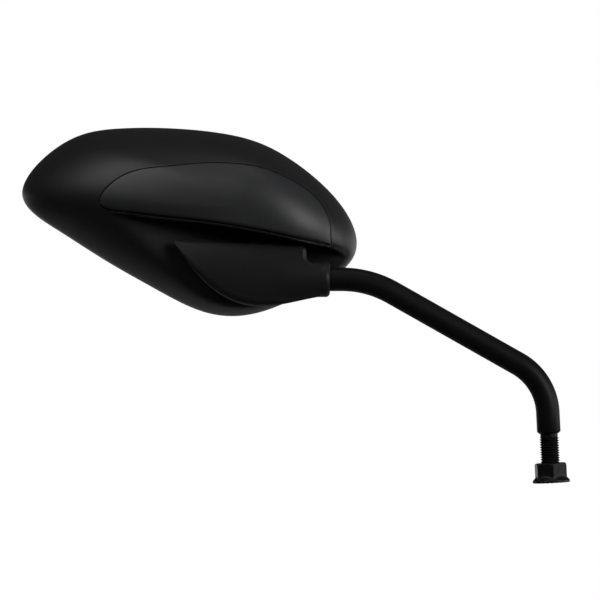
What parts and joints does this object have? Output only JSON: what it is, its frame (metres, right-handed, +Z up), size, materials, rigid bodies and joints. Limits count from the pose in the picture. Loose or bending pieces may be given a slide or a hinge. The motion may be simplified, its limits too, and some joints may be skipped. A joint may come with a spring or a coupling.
{
  "type": "motorcycle mirror",
  "caption": "Swept black rear-view mirror for a motorcycle: moulded head with inset cover panel, ball joint, cast fin bracket, bent rod arm and threaded stud with flange nut.",
  "frame": {"origin": "on the axis of the threaded stud, in the plane where the flange nut seats on the motorcycle", "axes": "+Z up along the stud, +X away from the head so that the head lies at -X, +Y from the front of the mirror towards its glass side"},
  "size_m": [0.2721, 0.058, 0.1918],
  "materials": {
    "rod_black": "matt powder coat",
    "cast_black": "satin powder coat on a cast part",
    "nut_black": "satin black plating",
    "dark_screw": "blackened",
    "bare_steel": "zinc plated",
    "liner": "smooth natural nylon",
    "cast_alloy": "as cast",
    "shell_plastic": "fine spark-eroded grain",
    "panel_plastic": "satin",
    "carrier_plastic": "smooth",
    "foam": "foam tape",
    "seal": "matt",
    "mirror": "polished, faint blue tint"
  },
  "bodies": {
    "arm": {"arm": "rod_black", "stem_bracket": "cast_black", "grub_screw_1": "dark_screw", "grub_screw_2": "dark_screw", "ball_stud": "bare_steel"},
    "liner": {"ball_liner": "liner"},
    "head": {"ball_socket": "cast_alloy", "socket_screw_1": "bare_steel", "socket_screw_2": "bare_steel", "socket_screw_3": "bare_steel", "clamp_plate": "bare_steel", "clamp_screw_1": "bare_steel", "clamp_screw_2": "bare_steel", "clamp_screw_3": "bare_steel", "clamp_spring_1": "bare_steel", "clamp_spring_2": "bare_steel", "clamp_spring_3": "bare_steel", "housing": "shell_plastic", "cover_panel": "panel_plastic", "panel_clip_1": "bare_steel", "panel_clip_2": "bare_steel", "panel_clip_3": "bare_steel", "glass_carrier": "carrier_plastic", "carrier_screw_1": "bare_steel", "carrier_screw_2": "bare_steel", "carrier_screw_3": "bare_steel", "carrier_screw_4": "bare_steel", "adhesive_pad": "foam", "mirror_glass": "mirror", "glass_seal": "seal"},
    "nut": {"flange_nut": "nut_black"}
  },
  "joints": [
    {"name": "head_tilt", "type": "hinge", "parent": "arm", "child": "liner", "pos_m": [-0.14308, 0.019, 0.12154], "axis": [1, 0, 0], "range_deg": [-8, 3]},
    {"name": "head_pan", "type": "hinge", "parent": "liner", "child": "head", "pos_m": [-0.14308, 0.019, 0.12154], "axis": [0, 0, 1], "range_deg": [-6, 6]},
    {"name": "nut_travel", "type": "slide", "parent": "arm", "child": "nut", "axis": [0, 0, 1], "range_m": [0, 0.0125]}
  ]
}
